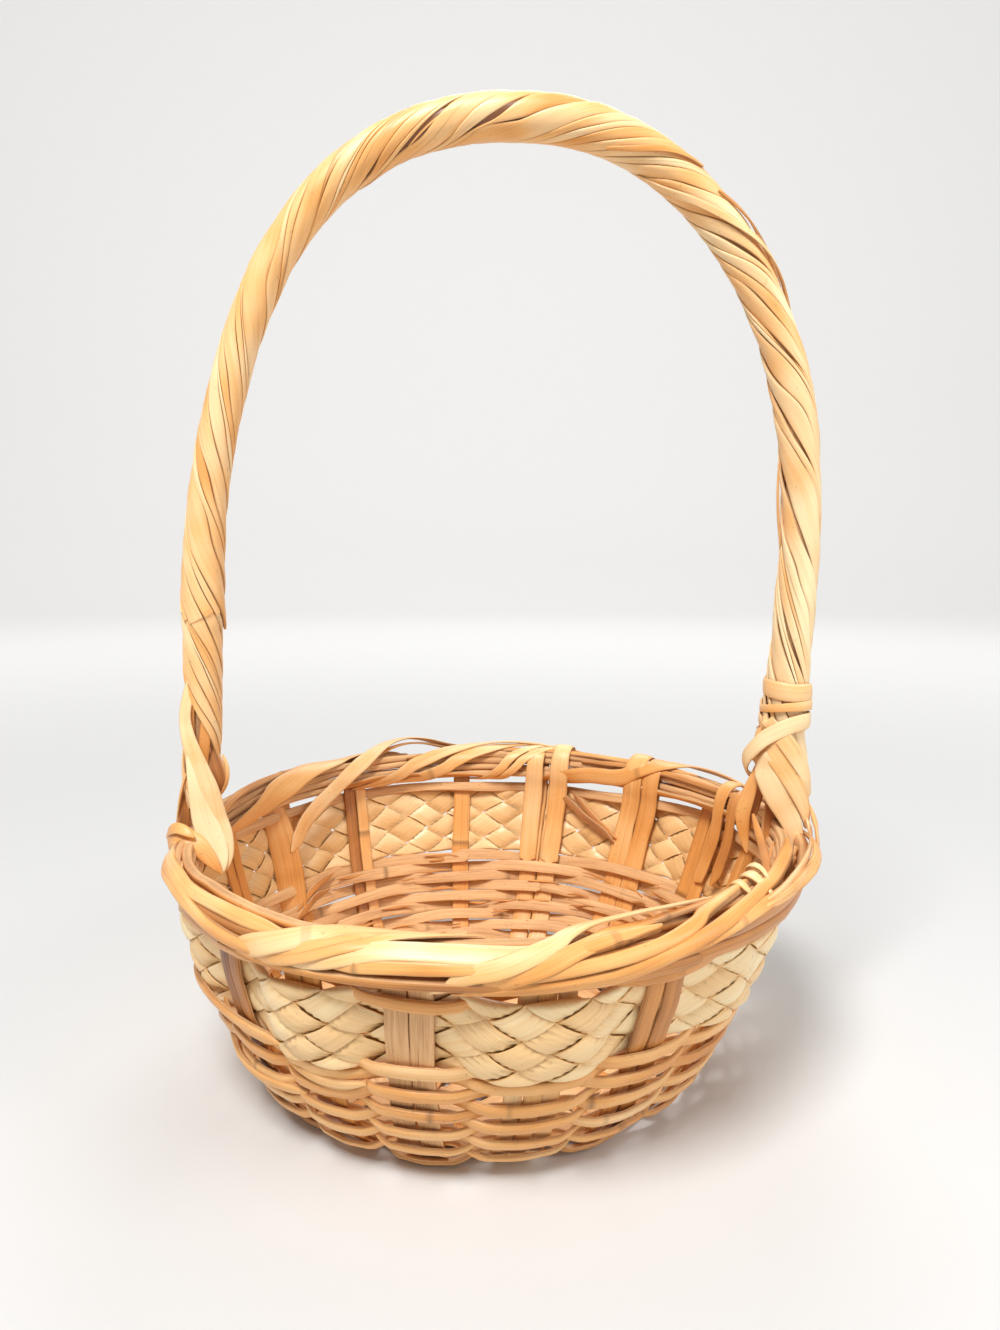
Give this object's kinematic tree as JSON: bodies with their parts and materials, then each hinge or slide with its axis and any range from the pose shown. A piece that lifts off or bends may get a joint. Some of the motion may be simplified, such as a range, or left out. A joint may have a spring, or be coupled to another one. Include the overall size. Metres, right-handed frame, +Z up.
{
  "type": "handled basket",
  "caption": "Small oval handmade basket of split cane with a woven bowl, a plaited leaf band, a lashed rim and a tall fixed arch handle wrapped in flat strips.",
  "frame": {"origin": "middle of the outline seen from above, on the plane that the basket stands on", "axes": "+Z up, the way the handle stands; +X along the long way of the oval, towards the bound leg of the handle; -Y is the side the picture shows"},
  "size_m": [0.2637, 0.2506, 0.3783],
  "materials": {
    "honey_cane": "smooth orange-tan split cane with a soft natural sheen",
    "tan_cane": "half-round split cane, smooth tan outside, with brown streaks and nodes",
    "rough_cane": "rough fibrous inner cane, matt pinkish brown",
    "palm_leaf": "dry pale straw-coloured palm leaf, finely lined, satin to matt",
    "handle_cane": "flat peeled cane strips, light honey colour with fine grain lines, satin"
  },
  "bodies": {
    "root": {"base_stick_1": "rough_cane", "base_stick_2": "rough_cane", "base_stick_3": "rough_cane", "base_stick_4": "rough_cane", "base_stick_5": "rough_cane", "base_stick_6": "rough_cane", "base_stick_7": "rough_cane", "base_stick_8": "rough_cane", "base_weaver_1": "rough_cane", "base_weaver_2": "rough_cane", "base_weaver_3": "rough_cane", "base_weaver_4": "rough_cane", "base_weaver_5": "rough_cane", "foot_weaver": "tan_cane", "handle_binding": "handle_cane", "handle_core": "rough_cane", "handle_wrap_1": "handle_cane", "handle_wrap_2": "handle_cane", "handle_wrap_3": "handle_cane", "handle_wrap_4": "handle_cane", "plait_band": "palm_leaf", "rim_lashing_back": "handle_cane", "rim_lashing_front": "handle_cane", "rim_rod_inner_high": "rough_cane", "rim_rod_inner_low": "rough_cane", "rim_rod_outer_high": "rough_cane", "rim_rod_outer_low": "rough_cane", "stake_01": "honey_cane", "stake_02": "honey_cane", "stake_03": "honey_cane", "stake_04": "honey_cane", "stake_05": "honey_cane", "stake_06": "honey_cane", "stake_07": "honey_cane", "stake_08": "honey_cane", "stake_09": "honey_cane", "stake_10": "honey_cane", "stake_11": "honey_cane", "stake_12": "honey_cane", "stake_13": "honey_cane", "stake_14": "honey_cane", "stake_15": "honey_cane", "stake_16": "honey_cane", "tie_loop_left": "honey_cane", "tie_loop_right": "handle_cane", "upper_weaver": "tan_cane", "wall_weaver_01": "tan_cane", "wall_weaver_02": "tan_cane", "wall_weaver_03": "tan_cane", "wall_weaver_04": "tan_cane", "wall_weaver_05": "tan_cane", "wall_weaver_06": "tan_cane", "wall_weaver_07": "tan_cane", "wall_weaver_08": "tan_cane", "wall_weaver_09": "tan_cane", "wall_weaver_10": "tan_cane", "wall_weaver_11": "tan_cane"}
  },
  "joints": []
}
